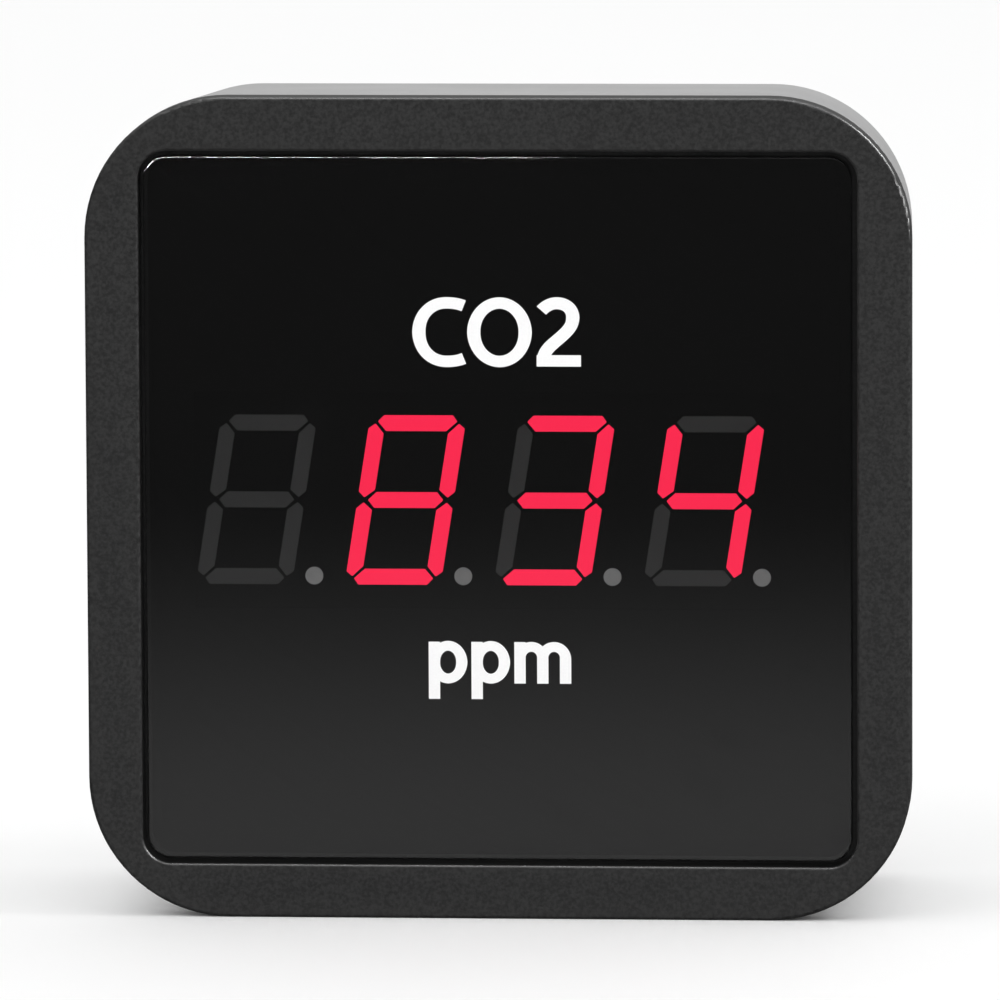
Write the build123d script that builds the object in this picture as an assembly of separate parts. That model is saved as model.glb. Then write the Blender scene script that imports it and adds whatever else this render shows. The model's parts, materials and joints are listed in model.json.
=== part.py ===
from build123d import *
from math import cos, pi, radians, sin, tan
import os

# Carbon dioxide monitor, 70 mm square and 28 mm deep. Sizes are in mm.
# X runs to the right as the display is read, Y to the back and Z up. The origin is the middle of the base.

# Case
BODY = 70.0
DEPTH = 28.0
FRONT = -DEPTH / 2
BACK = DEPTH / 2
MIDDLE = BODY / 2
CORNER = 12.0
FRAME_DEPTH = 2.5
JOINT = FRONT + FRAME_DEPTH  # the plane where the front frame meets the rear shell
FRAME_ROUND = 0.3
MOUTH_ROUND = 0.25
WALL = 2.0
DRAFT = 2.2  # degrees, on the shell's top and sides
BACK_ROUND = 2.5
INNER_BACK = BACK - WALL

# Window in its frame
WINDOW = 60.0
WINDOW_CORNER = 2.0
WINDOW_THICKNESS = 2.0
WINDOW_FRONT = FRONT + 0.25
WINDOW_BACK = WINDOW_FRONT + WINDOW_THICKNESS
WINDOW_CHAMFER = 0.15
WINDOW_GAP = 0.42
TAPE = 0.2
TAPE_WIDTH = 2.6
TAPE_INSET = 0.2
TAPE_CORNER = 1.0
FILM_LAP = 0.3  # how far the film covers the edge of the display
LEDGE_FRONT = WINDOW_BACK + TAPE
LEDGE_BACK = LEDGE_FRONT + 1.2
LEDGE_OPENING_X = 53.4
LEDGE_OPENING_Z = 52.0
LEDGE_CORNER = 6.0
TONGUE = 65.6  # the lip of the frame that locates the shell
TONGUE_WALL = 1.2
TONGUE_BACK = JOINT + 2.0

# Case screws, their bosses on the frame and their seats in the shell
CASE_SCREW_X = 26.5
CASE_SCREW_Z = (8.5, 61.5)
BOSS_RADIUS = 3.2
BOSS_BACK = 10.4
SCREW_RADIUS = 1.1
PILOT_DEPTH = 9.4
HEAD_RADIUS = 2.2
HEAD_HEIGHT = 1.4
SEAT_RADIUS = 2.5
SEAT_FLOOR = BACK - 2.2
CLEARANCE_RADIUS = 1.3
PAD_RADIUS = 4.2
SCREW_SPARE = 0.5  # the empty end of a screw's pilot hole
HEAD_ROUND = 0.55  # shares of a head's height, and of its radius for the cross
CROSS_DEPTH = 0.6
CROSS_WIDTH = 1.1
CROSS_ARMS = 4.0  # length of the cross over the width of its arms

# Main board, its posts and screws
BOARD = 62.0
BOARD_FRONT = -3.3
BOARD_THICKNESS = 1.6
BOARD_CORNER = 1.0
BOARD_BACK = BOARD_FRONT + BOARD_THICKNESS
NOTCH = BOSS_RADIUS + 0.7  # from a boss's axis to the edges of the board's corner notch
POST_RADIUS = 2.1
POST_PLACES = ((-28.8, MIDDLE), (28.8, MIDDLE), (0.0, 6.5), (0.0, 63.5))
BOARD_SCREW_RADIUS = 0.8
BOARD_HOLE_RADIUS = 1.1
BOARD_HEAD_RADIUS = 1.9
BOARD_HEAD_HEIGHT = 1.2
BOARD_PILOT_DEPTH = 5.0

# Four-digit display, 0.56 inch
MODULE_X = 50.3
MODULE_Z = 19.0
MODULE_DEPTH = 8.0
MODULE_FRONT = BOARD_FRONT - MODULE_DEPTH
MODULE_CENTRE_X = -1.1
DIGITS_CENTRE_X = -1.69
DIGITS_CENTRE_Z = MIDDLE + 0.5
DIGIT_PITCH = 12.7
SLANT = tan(radians(9))
BAR = 1.36  # width of a segment
HALF_HEIGHT = 6.57  # from the middle segment's centre line to the top one's
HALF_WIDTH = 3.42  # from the digit's axis to an upright segment's centre line
BAR_DEPTH = 1.0
BAR_ROUND = 0.1
POINT_X = 4.88
POINT_Z = -6.5
POINT_RADIUS = 0.76
LIT = ("", "abcdefg", "abcdg", "bcfg")  # the reading is 834, with the first digit blank
PIN_PITCH = 2.54
PIN_WIDTH = 0.5
PIN_HOLE_RADIUS = 0.5
DISPLAY_PIN_ROWS = (DIGITS_CENTRE_Z - 7.62, DIGITS_CENTRE_Z + 7.62)
DISPLAY_PINS_PER_ROW = 6
DISPLAY_PIN_BACK = BOARD_BACK + 1.2

# Parts on the board. A chip's place is its x, z, width and height.
CONTROLLER = (-17.0, 30.5, 7.0, 7.0)
DRIVER = (15.0, 30.5, 10.3, 5.6)
REGULATOR = (-19.0, 8.5, 6.5, 3.5)
REGULATOR_HEIGHT = 1.6
CHIP_STANDOFF = 0.1
CHIP_HEIGHT = 1.5
CHIP_DOT_INSET = 1.0
CHIP_DOT_RADIUS = 0.35
CHIP_DOT_DEPTH = 0.1
CONTROLLER_LEADS = 8
CONTROLLER_PITCH = 0.8
DRIVER_LEADS = 8
DRIVER_PITCH = 1.27
REGULATOR_LEADS = 3
REGULATOR_PITCH = 2.3
LEAD_REACH = 0.9
LEAD_HEIGHT = 0.9
LEAD_WIDTH = 0.3
LEAD_FOOT = 0.15
LEAD_SHANK = 0.35
CAPACITOR_X = 25.0
CAPACITOR_Z = (17.0, 24.0)
CAPACITOR_RADIUS = 2.5
CAPACITOR_HEIGHT = 5.4
CAN_ROUND = 0.4
GROOVE_DEPTH = 0.2
GROOVE_WIDTH = 0.5
GROOVE_HEIGHT = 1.0
CRYSTAL = (-23.5, 39.0)
CRYSTAL_SIZE = (11.0, 4.6)
CRYSTAL_HEIGHT = 3.5
SMALL_PITCH = 2.4
RESISTOR_X = 27.0
RESISTOR_Z = 42.0
RESISTORS = 7
RESISTOR_SIZE = (1.6, 0.8, 0.45)
CERAMIC_X = 24.0
CERAMIC_Z = 43.2
CERAMICS = 6
CERAMIC_SIZE = (1.6, 0.85, 0.8)

# Keys in the back: an alarm key and a calibration key, each over a push switch
KEY_X = 14.0
KEY_Z = 18.0
SWITCH_SIDE = 6.0
SWITCH_BACK = BOARD_BACK + 3.5
SWITCH_CHAMFER = 0.5
PLUNGER_RADIUS = 1.75
PLUNGER_BACK = SWITCH_BACK + 1.5
PLUNGER_FRONT = SWITCH_BACK - 1.0
PLUNGER_FLOOR = PLUNGER_FRONT - 0.7
PLUNGER_CLEARANCE = 0.12
KEY_RADIUS = 3.5
KEY_HOLE_RADIUS = 3.75
KEY_BACK = BACK - 0.3
KEY_ROUND = 0.4
KEY_DISH_RADIUS = 14.0
KEY_DISH_DEPTH = 0.3
KEY_FLANGE_RADIUS = 4.3
KEY_FLANGE = 1.0
SLEEVE_INNER = 4.6
SLEEVE_OUTER = 5.6
SLEEVE_FRONT = 8.5

# Buzzer behind its sound holes
BUZZER_RADIUS = 4.5
BUZZER_HEIGHT = 4.5
BUZZER_ROUND = 0.3
BUZZER_HOLE_RADIUS = 0.9
BUZZER_HOLE_DEPTH = 1.2
SOUND_HOLE_RADIUS = 0.65
SOUND_RING = 2.7
SOUND_RING_HOLES = 6

# Power switch on the left side, with its knob outside
POWER_Z = 50.0
POWER_TRAVEL = 2.0
POWER_SWITCH_X = -31.2
POWER_SWITCH = (3.6, 3.5, 8.5)
POWER_Y = BOARD_BACK + POWER_SWITCH[1] / 2
LEVER_SIDE = 1.2
LEVER_WELL = 1.3  # depth of the slot in the switch that the lever slides in
LEVER_FOOT = 1.1
LEVER_TIP = -33.1
RECESS_FLOOR_X = -33.7
RECESS_Z = 8.4
RECESS_Y = 5.0
RECESS_CORNER = 1.0
KNOB_Z = 3.6
KNOB_Y = 3.8
KNOB_TIP = -34.9
KNOB_STEM_Y = 1.8
KNOB_STEM_Z = 2.0
KNOB_CHAMFER = 0.25
KNOB_LIFT = 0.05  # from the floor of its recess
KNOB_STEM_END = POWER_SWITCH_X - 0.3
RIB_PITCH = 0.9
RIB_GROOVE = 0.4
RIB_DEPTH = 0.35
SLOT_CLEARANCE = 0.3
SIDE_REACH = 3.5  # how far in the holes of the left side are cut

# USB-C socket on the left side
USB_Z = 20.0
USB_MOUTH_X = -33.5
USB_LENGTH = 7.3
USB_WIDTH = 8.94
USB_HEIGHT = 3.26
USB_WALL = 0.3
USB_Y = BOARD_BACK + USB_HEIGHT / 2
USB_RECESS = (12.5, 7.0)
USB_HOLE = (9.5, 3.8)
CONTACT_LENGTH = 4.6
TONGUE_SIZE = (6.7, 0.7)
TONGUE_NOSE = 1.2  # the tongue beyond its contacts
TONGUE_CHAMFER = 0.15
CONTACTS = 12
CONTACT_PITCH = 0.5
CONTACT_WIDTH = 0.26
CONTACT_THICKNESS = 0.08

# Gas sensor behind the vents
SENSOR_Z = 48.0
SENSOR_BOARD = (33.0, 20.0)
SENSOR_BOARD_FRONT = BOARD_BACK + 2.5
SENSOR_BOARD_BACK = SENSOR_BOARD_FRONT + 1.0
SENSOR_BOARD_CORNER = 0.8
CHAMBER = (27.0, 19.0)
CHAMBER_HEIGHT = 7.5
CHAMBER_BACK = SENSOR_BOARD_BACK + CHAMBER_HEIGHT
CHAMBER_WALL = 0.6
CHAMBER_CORNER = 1.5
CHAMBER_ROUND = 0.8
MEMBRANE_X = (-6.0, 6.0)
MEMBRANE = (7.0, 11.0)
MEMBRANE_CORNER = 0.6
MEMBRANE_THICKNESS = 0.2
GAS_OPENING = (5.0, 9.0)
LAMP_X = -9.5
LAMP_RADIUS = 1.5
LAMP_HEIGHT = 5.0
LAMP_ROUND = 1.2
DETECTOR_X = 9.0
DETECTOR_RADIUS = 2.3
DETECTOR_HEIGHT = 3.4
BRIM = 0.4
DETECTOR_WINDOW = 2.0
DETECTOR_WINDOW_DEPTH = 0.2
SENSOR_PIN_X = 15.24
SENSOR_PINS_LEFT = 4
SENSOR_PINS_RIGHT = 5
SENSOR_PIN_FRONT = BOARD_FRONT + 0.1
SENSOR_PIN_BACK = SENSOR_BOARD_BACK + 0.5
SPACER_WIDTH = 2.4

# Vents and hanging holes
VENT_WIDTH = 1.4
VENT_LENGTH = 16.0
VENT_PITCH = 4.0
BACK_VENTS = 7
BACK_VENT_Z = 50.0
SIDE_VENTS = 7
SIDE_VENT_LENGTH = 14.0
SIDE_VENT_Z = MIDDLE
SIDE_VENT_REACH = 4.0
HANG_X = 22.3
HANG_Z = 47.5
HANG_RADIUS = 3.8
HANG_SLOT_RADIUS = 2.0
HANG_RISE = 5.5
POCKET_MARGIN = 0.6
POCKET_FLAT = 0.02  # left between the two arcs of a pocket's end
POCKET_WALL = 1.0
POCKET_FRONT = 8.5


def slab(sketch, front, back):
    """A solid with an outline drawn in X and Z, between two depths."""
    return extrude(Plane.XZ.offset(-back) * sketch, amount=back - front, dir=(0, -1, 0))


def bar(sketch, left, right):
    """A solid with an outline drawn in Y and Z, between two places along X."""
    return extrude(Plane.YZ.offset(left) * sketch, amount=right - left, dir=(1, 0, 0))


def case_outline(width, corner):
    """A rounded square about the middle of the front."""
    return Pos(0, MIDDLE) * RectangleRounded(width, width, corner)


def block(x, z, width, height, front, back):
    """A plain box, given by its centre and size in X and Z and its two depths."""
    return slab(Pos(x, z) * Rectangle(width, height), front, back)


def disc(x, z, radius, front, back):
    """A round pin along Y."""
    return slab(Pos(x, z) * Circle(radius), front, back)


def save(node, *solids):
    """Writes a node's solids, each as a piece of its own."""
    pieces = []
    for solid in solids:
        pieces += solid.solids()
    shape = pieces[0] if len(pieces) == 1 else Compound(children=pieces)
    export_step(shape, f"parts/{node}.step")


def case_screw_places():
    return [(x, z) for x in (-CASE_SCREW_X, CASE_SCREW_X) for z in CASE_SCREW_Z]


def phillips_recess(x, z, back, width, depth):
    """The cross that is cut into a screw's head from its back face."""
    cross = Rectangle(width, width / CROSS_ARMS) + Rectangle(width / CROSS_ARMS, width)
    return slab(Pos(x, z) * cross, back - depth, back)


def screw(x, z, seat, shank_radius, tip, head_radius, head_height):
    """A pan-head screw driven from the back, with its head on the seat."""
    head = disc(x, z, head_radius, seat, seat + head_height)
    head = fillet(head.edges().sort_by(Axis.Y)[-1], head_height * HEAD_ROUND)
    head -= phillips_recess(x, z, seat + head_height, head_radius * CROSS_WIDTH, head_height * CROSS_DEPTH)
    return head + disc(x, z, shank_radius, tip, seat)


# ---- Front

def front_frame():
    """The bezel with the window's ledge, the lip for the shell, the bosses and the board's posts."""
    bezel = slab(case_outline(BODY, CORNER), FRONT, JOINT)
    bezel = fillet(bezel.faces().sort_by(Axis.Y)[0].edges(), FRAME_ROUND)
    opening = WINDOW + 2 * WINDOW_GAP
    frame = bezel - slab(case_outline(opening, WINDOW_CORNER + WINDOW_GAP), FRONT, LEDGE_FRONT)
    front_face = frame.faces().sort_by(Axis.Y)[0]
    frame = fillet(front_face.inner_wires()[0].edges(), MOUTH_ROUND)
    lip = slab(case_outline(TONGUE, TONGUE / 2 - BODY / 2 + CORNER), LEDGE_FRONT, TONGUE_BACK)
    hollow = TONGUE - 2 * TONGUE_WALL
    lip -= slab(case_outline(hollow, hollow / 2 - BODY / 2 + CORNER), LEDGE_BACK, TONGUE_BACK)
    frame += lip
    for x, z in case_screw_places():
        frame += disc(x, z, BOSS_RADIUS, LEDGE_BACK, BOSS_BACK)
    for x, z in POST_PLACES:
        frame += disc(x, z, POST_RADIUS, LEDGE_BACK, BOARD_FRONT)
    window_way = Pos(0, MIDDLE) * RectangleRounded(LEDGE_OPENING_X, LEDGE_OPENING_Z, LEDGE_CORNER)
    frame -= slab(window_way, FRONT, LEDGE_BACK)
    for x, z in case_screw_places():
        frame -= disc(x, z, SCREW_RADIUS, BOSS_BACK - PILOT_DEPTH, BOSS_BACK)
    for x, z in POST_PLACES:
        frame -= disc(x, z, BOARD_SCREW_RADIUS, BOARD_FRONT - BOARD_PILOT_DEPTH, BOARD_FRONT)
    return frame


def display_window():
    pane = slab(case_outline(WINDOW, WINDOW_CORNER), WINDOW_FRONT, WINDOW_BACK)
    return chamfer(pane.faces().sort_by(Axis.Y)[0].edges(), WINDOW_CHAMFER)


def window_tape():
    """The adhesive ring between the window and the ledge."""
    outer = WINDOW - 2 * TAPE_INSET
    ring = case_outline(outer, WINDOW_CORNER) - case_outline(outer - 2 * TAPE_WIDTH, TAPE_CORNER)
    return slab(ring, WINDOW_BACK, LEDGE_FRONT)


def display_mask():
    """A black film behind the window, cut out in front of the display."""
    film = case_outline(WINDOW - 2 * (TAPE_INSET + TAPE_WIDTH), TAPE_CORNER)
    display_way = Rectangle(MODULE_X - 2 * FILM_LAP, MODULE_Z - 2 * FILM_LAP)
    return slab(film - Pos(MODULE_CENTRE_X, DIGITS_CENTRE_Z) * display_way, WINDOW_BACK, LEDGE_FRONT)


# ---- Display

def slanted(points):
    """A segment's outline from points given upright about the digit's middle."""
    outline = Polygon(*[(x + z * SLANT, z) for x, z in points], align=None)
    return fillet(outline.vertices(), BAR_ROUND)


def level_segment(row):
    """A level segment in row 1 (top), 0 (middle) or -1 (bottom): its outer edge is the longer one."""
    centre = row * HALF_HEIGHT
    tip, near, far = (3.38, 2.93, 2.56) if row else (3.21, 2.58, 2.58)
    side = row or 1
    lean = 0.14 * row
    outer = centre + side * BAR / 2
    inner = centre - side * BAR / 2
    right = [(far, inner), (tip, centre + lean), (near, outer)]
    left = [(-x, z) for x, z in reversed(right)]
    return slanted(right + left)


def upright_segment(side, row):
    """An upright segment on side -1 or 1, above (row 1) or below (row -1) the middle one."""
    outer = side * (HALF_WIDTH + BAR / 2)
    inner = side * (HALF_WIDTH - BAR / 2)
    tip = side * (HALF_WIDTH + 0.13)
    points = [(inner, 0.86), (tip, 0.21), (outer, 0.72), (outer, 6.12), (tip, 6.54), (inner, 5.67)]
    return slanted([(x, row * z) for x, z in points])


def segment_outlines():
    return {
        "a": level_segment(1),
        "b": upright_segment(1, 1),
        "c": upright_segment(1, -1),
        "d": level_segment(-1),
        "e": upright_segment(-1, -1),
        "f": upright_segment(-1, 1),
        "g": level_segment(0),
    }


def digit_centres():
    return [DIGITS_CENTRE_X + (place - 1.5) * DIGIT_PITCH for place in range(4)]


def segments(lit):
    """The display's lit segments, or its unlit ones."""
    outlines = segment_outlines()
    bars = []
    for centre, names in zip(digit_centres(), LIT):
        for name, outline in outlines.items():
            if (name in names) == lit:
                place = Pos(centre, DIGITS_CENTRE_Z)
                bars.append(slab(place * outline, MODULE_FRONT, MODULE_FRONT + BAR_DEPTH))
    return bars


def decimal_points():
    return [disc(centre + POINT_X, DIGITS_CENTRE_Z + POINT_Z, POINT_RADIUS, MODULE_FRONT,
                 MODULE_FRONT + BAR_DEPTH) for centre in digit_centres()]


def display_housing():
    """The module's body, with a well for each segment and point."""
    body = block(MODULE_CENTRE_X, DIGITS_CENTRE_Z, MODULE_X, MODULE_Z, MODULE_FRONT, BOARD_FRONT)
    return body - segments(True) - segments(False) - decimal_points()


def display_pin_places():
    first = -(DISPLAY_PINS_PER_ROW - 1) / 2
    columns = [MODULE_CENTRE_X + (first + count) * PIN_PITCH for count in range(DISPLAY_PINS_PER_ROW)]
    return [(x, z) for z in DISPLAY_PIN_ROWS for x in columns]


def display_pins():
    return [block(x, z, PIN_WIDTH, PIN_WIDTH, BOARD_FRONT, DISPLAY_PIN_BACK) for x, z in display_pin_places()]


# ---- Main board

def sensor_pin_places():
    places = []
    for x, count in ((-SENSOR_PIN_X, SENSOR_PINS_LEFT), (SENSOR_PIN_X, SENSOR_PINS_RIGHT)):
        first = SENSOR_Z - (count - 1) / 2 * PIN_PITCH
        places += [(x, first + row * PIN_PITCH) for row in range(count)]
    return places


def main_pcb():
    """The board, notched at its corners for the bosses."""
    board = case_outline(BOARD, BOARD_CORNER)
    reach = BOARD / 2 - CASE_SCREW_X + NOTCH
    for x, z in case_screw_places():
        side_x = 1 if x > 0 else -1
        side_z = 1 if z > MIDDLE else -1
        corner_x = side_x * (BOARD - reach) / 2
        corner_z = MIDDLE + side_z * (BOARD - reach) / 2
        board -= Pos(corner_x, corner_z) * Rectangle(reach, reach)
    for x, z in POST_PLACES:
        board -= Pos(x, z) * Circle(BOARD_HOLE_RADIUS)
    for x, z in display_pin_places() + sensor_pin_places():
        board -= Pos(x, z) * Circle(PIN_HOLE_RADIUS)
    return slab(board, BOARD_FRONT, BOARD_BACK)


def pcb_screws():
    tip = BOARD_FRONT - BOARD_PILOT_DEPTH + SCREW_SPARE
    return [screw(x, z, BOARD_BACK, BOARD_SCREW_RADIUS, tip, BOARD_HEAD_RADIUS, BOARD_HEAD_HEIGHT)
            for x, z in POST_PLACES]


def chip(place):
    """A chip's moulded body, with a dot at its first lead."""
    x, z, width, height = place
    base = BOARD_BACK + CHIP_STANDOFF
    top = base + CHIP_HEIGHT
    body = block(x, z, width, height, base, top)
    dot_x = x - width / 2 + CHIP_DOT_INSET
    dot_z = z + height / 2 - CHIP_DOT_INSET
    return body - disc(dot_x, dot_z, CHIP_DOT_RADIUS, top - CHIP_DOT_DEPTH, top)


def leads_on_side(place, outward, count, pitch):
    """A row of leads on one side of a chip, each stepping down to the board. outward is in X and Z."""
    x, z, width, height = place
    near = width / 2 if outward[0] else height / 2
    shank = near + LEAD_SHANK
    far = near + LEAD_REACH
    profile = Polygon((near, 0), (far, 0), (far, LEAD_FOOT), (shank, LEAD_FOOT), (shank, LEAD_HEIGHT),
                      (near, LEAD_HEIGHT), align=None)
    direction = Vector(outward[0], 0, outward[1])
    along = direction.cross(Vector(0, 1, 0))
    leads = []
    for number in range(count):
        centre = Vector(x, BOARD_BACK, z) + along * ((number - (count - 1) / 2) * pitch)
        plane = Plane(origin=centre, x_dir=direction, z_dir=along)
        leads.append(extrude(plane * profile, amount=LEAD_WIDTH / 2, both=True))
    return leads


def chip_leads():
    leads = leads_on_side(REGULATOR, (0, -1), REGULATOR_LEADS, REGULATOR_PITCH)
    for side in (-1, 1):
        leads += leads_on_side(CONTROLLER, (side, 0), CONTROLLER_LEADS, CONTROLLER_PITCH)
        leads += leads_on_side(CONTROLLER, (0, side), CONTROLLER_LEADS, CONTROLLER_PITCH)
        leads += leads_on_side(DRIVER, (0, side), DRIVER_LEADS, DRIVER_PITCH)
    return leads


def voltage_regulator():
    return block(*REGULATOR, BOARD_BACK, BOARD_BACK + REGULATOR_HEIGHT)


def electrolytic_capacitors():
    """Two cans, each with a rolled groove above its foot."""
    cans = []
    for z in CAPACITOR_Z:
        can = disc(CAPACITOR_X, z, CAPACITOR_RADIUS, BOARD_BACK, BOARD_BACK + CAPACITOR_HEIGHT)
        can = fillet(can.edges().sort_by(Axis.Y)[-1], CAN_ROUND)
        low = BOARD_BACK + GROOVE_HEIGHT
        high = low + GROOVE_WIDTH
        groove = disc(CAPACITOR_X, z, CAPACITOR_RADIUS + GROOVE_DEPTH, low, high)
        groove -= disc(CAPACITOR_X, z, CAPACITOR_RADIUS - GROOVE_DEPTH, low, high)
        cans.append(can - groove)
    return cans


def crystal():
    outline = Pos(*CRYSTAL) * SlotOverall(*CRYSTAL_SIZE, rotation=90)
    can = slab(outline, BOARD_BACK, BOARD_BACK + CRYSTAL_HEIGHT)
    return fillet(can.faces().sort_by(Axis.Y)[-1].edges(), CAN_ROUND)


def small_parts(x, first, count, size):
    """A column of small chip parts on the board."""
    width, height, thickness = size
    return [block(x, first + row * SMALL_PITCH, width, height, BOARD_BACK, BOARD_BACK + thickness)
            for row in range(count)]


def buzzer():
    top = BOARD_BACK + BUZZER_HEIGHT
    can = disc(0, KEY_Z, BUZZER_RADIUS, BOARD_BACK, top)
    can = fillet(can.edges().sort_by(Axis.Y)[-1], BUZZER_ROUND)
    return can - disc(0, KEY_Z, BUZZER_HOLE_RADIUS, top - BUZZER_HOLE_DEPTH, top)


# ---- Keys

def key_switches():
    """The bodies of the two push switches, each bored for its plunger."""
    bodies = []
    for x in (-KEY_X, KEY_X):
        body = block(x, KEY_Z, SWITCH_SIDE, SWITCH_SIDE, BOARD_BACK, SWITCH_BACK)
        body = chamfer(body.edges().filter_by(Axis.Y), SWITCH_CHAMFER)
        bodies.append(body - disc(x, KEY_Z, PLUNGER_RADIUS + PLUNGER_CLEARANCE, PLUNGER_FLOOR, SWITCH_BACK))
    return bodies


def plunger(x):
    return disc(x, KEY_Z, PLUNGER_RADIUS, PLUNGER_FRONT, PLUNGER_BACK)


def key_cap(x):
    """A round key with a dished face, a flange behind the wall and a stem down to the plunger."""
    face = disc(x, KEY_Z, KEY_RADIUS, INNER_BACK, KEY_BACK)
    face = fillet(face.edges().sort_by(Axis.Y)[-1], KEY_ROUND)
    dish = Pos(x, KEY_BACK + KEY_DISH_RADIUS - KEY_DISH_DEPTH, KEY_Z) * Sphere(KEY_DISH_RADIUS)
    flange = disc(x, KEY_Z, KEY_FLANGE_RADIUS, INNER_BACK - KEY_FLANGE, INNER_BACK)
    stem = disc(x, KEY_Z, PLUNGER_RADIUS, PLUNGER_BACK, INNER_BACK - KEY_FLANGE)
    return face - dish + flange + stem


# ---- Power switch

def power_switch():
    width, depth, height = POWER_SWITCH
    body = bar(Pos(POWER_Y, POWER_Z) * Rectangle(depth, height), POWER_SWITCH_X, POWER_SWITCH_X + width)
    slot = Rectangle(LEVER_SIDE + SLOT_CLEARANCE, LEVER_SIDE + POWER_TRAVEL + SLOT_CLEARANCE)
    return body - bar(Pos(POWER_Y, POWER_Z) * slot, POWER_SWITCH_X, POWER_SWITCH_X + LEVER_WELL)


def power_lever():
    """The switch's lever, at the top of its travel."""
    place = Pos(POWER_Y, POWER_Z + POWER_TRAVEL / 2)
    return bar(place * Rectangle(LEVER_SIDE, LEVER_SIDE), LEVER_TIP, POWER_SWITCH_X + LEVER_FOOT)


def power_knob():
    """The knob outside the case, ribbed across its travel, with a stem that takes the lever."""
    place = Pos(POWER_Y, POWER_Z + POWER_TRAVEL / 2)
    inner = RECESS_FLOOR_X - KNOB_LIFT
    knob = bar(place * Rectangle(KNOB_Y, KNOB_Z), KNOB_TIP, inner)
    knob = chamfer(knob.faces().sort_by(Axis.X)[0].edges(), KNOB_CHAMFER)
    groove = Rectangle(KNOB_Y, RIB_GROOVE)
    for row in (-1, 0, 1):
        knob -= bar(place * Pos(0, row * RIB_PITCH) * groove, KNOB_TIP, KNOB_TIP + RIB_DEPTH)
    knob += bar(place * Rectangle(KNOB_STEM_Y, KNOB_STEM_Z), inner, KNOB_STEM_END)
    return knob - bar(place * Rectangle(LEVER_SIDE, LEVER_SIDE), LEVER_TIP, POWER_SWITCH_X)


# ---- USB-C socket

def usb_outline(width, height):
    return Pos(USB_Y, USB_Z) * SlotOverall(width, height, rotation=90)


def usb_c_shell():
    """The socket's drawn steel shell, closed at its inner end."""
    end = USB_MOUTH_X + USB_LENGTH
    body = bar(usb_outline(USB_WIDTH, USB_HEIGHT), USB_MOUTH_X, end)
    hollow = usb_outline(USB_WIDTH - 2 * USB_WALL, USB_HEIGHT - 2 * USB_WALL)
    return body - bar(hollow, USB_MOUTH_X, end - USB_WALL)


def usb_c_tongue():
    width, height = TONGUE_SIZE
    end = USB_MOUTH_X + USB_LENGTH - USB_WALL
    tongue = bar(Pos(USB_Y, USB_Z) * Rectangle(height, width), end - CONTACT_LENGTH - TONGUE_NOSE, end)
    return chamfer(tongue.faces().sort_by(Axis.X)[0].edges().filter_by(Axis.Z), TONGUE_CHAMFER)


def usb_c_contacts():
    """Two rows of gold contacts, on the tongue's two faces."""
    end = USB_MOUTH_X + USB_LENGTH - USB_WALL
    outline = Rectangle(CONTACT_THICKNESS, CONTACT_WIDTH)
    contacts = []
    for face in (-1, 1):
        y = USB_Y + face * (TONGUE_SIZE[1] + CONTACT_THICKNESS) / 2
        for number in range(CONTACTS):
            z = USB_Z + (number - (CONTACTS - 1) / 2) * CONTACT_PITCH
            contacts.append(bar(Pos(y, z) * outline, end - CONTACT_LENGTH, end))
    return contacts


# ---- Gas sensor

def sensor_pcb():
    board = Pos(0, SENSOR_Z) * RectangleRounded(*SENSOR_BOARD, SENSOR_BOARD_CORNER)
    for x, z in sensor_pin_places():
        board -= Pos(x, z) * Circle(PIN_HOLE_RADIUS)
    return slab(board, SENSOR_BOARD_FRONT, SENSOR_BOARD_BACK)


def sensor_chamber():
    """The gas cell: a drawn cover with two openings in its back, under the membranes."""
    width, height = CHAMBER
    outline = Pos(0, SENSOR_Z) * RectangleRounded(width, height, CHAMBER_CORNER)
    cover = slab(outline, SENSOR_BOARD_BACK, CHAMBER_BACK)
    cover = fillet(cover.faces().sort_by(Axis.Y)[-1].edges(), CHAMBER_ROUND)
    width -= 2 * CHAMBER_WALL
    height -= 2 * CHAMBER_WALL
    inside = Pos(0, SENSOR_Z) * RectangleRounded(width, height, CHAMBER_CORNER - CHAMBER_WALL)
    cover -= slab(inside, SENSOR_BOARD_BACK, CHAMBER_BACK - CHAMBER_WALL)
    for x in MEMBRANE_X:
        cover -= block(x, SENSOR_Z, *GAS_OPENING, CHAMBER_BACK - CHAMBER_WALL, CHAMBER_BACK)
    return cover


def sensor_membranes():
    outline = RectangleRounded(*MEMBRANE, MEMBRANE_CORNER)
    return [slab(Pos(x, SENSOR_Z) * outline, CHAMBER_BACK, CHAMBER_BACK + MEMBRANE_THICKNESS)
            for x in MEMBRANE_X]


def sensor_lamp():
    lamp = disc(LAMP_X, SENSOR_Z, LAMP_RADIUS, SENSOR_BOARD_BACK, SENSOR_BOARD_BACK + LAMP_HEIGHT)
    return fillet(lamp.edges().sort_by(Axis.Y)[-1], LAMP_ROUND)


def sensor_detector():
    """A round can with a brim and a square window in its top."""
    top = SENSOR_BOARD_BACK + DETECTOR_HEIGHT
    can = disc(DETECTOR_X, SENSOR_Z, DETECTOR_RADIUS + BRIM, SENSOR_BOARD_BACK, SENSOR_BOARD_BACK + BRIM)
    can += disc(DETECTOR_X, SENSOR_Z, DETECTOR_RADIUS, SENSOR_BOARD_BACK, top)
    side = DETECTOR_WINDOW
    return can - block(DETECTOR_X, SENSOR_Z, side, side, top - DETECTOR_WINDOW_DEPTH, top)


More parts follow.
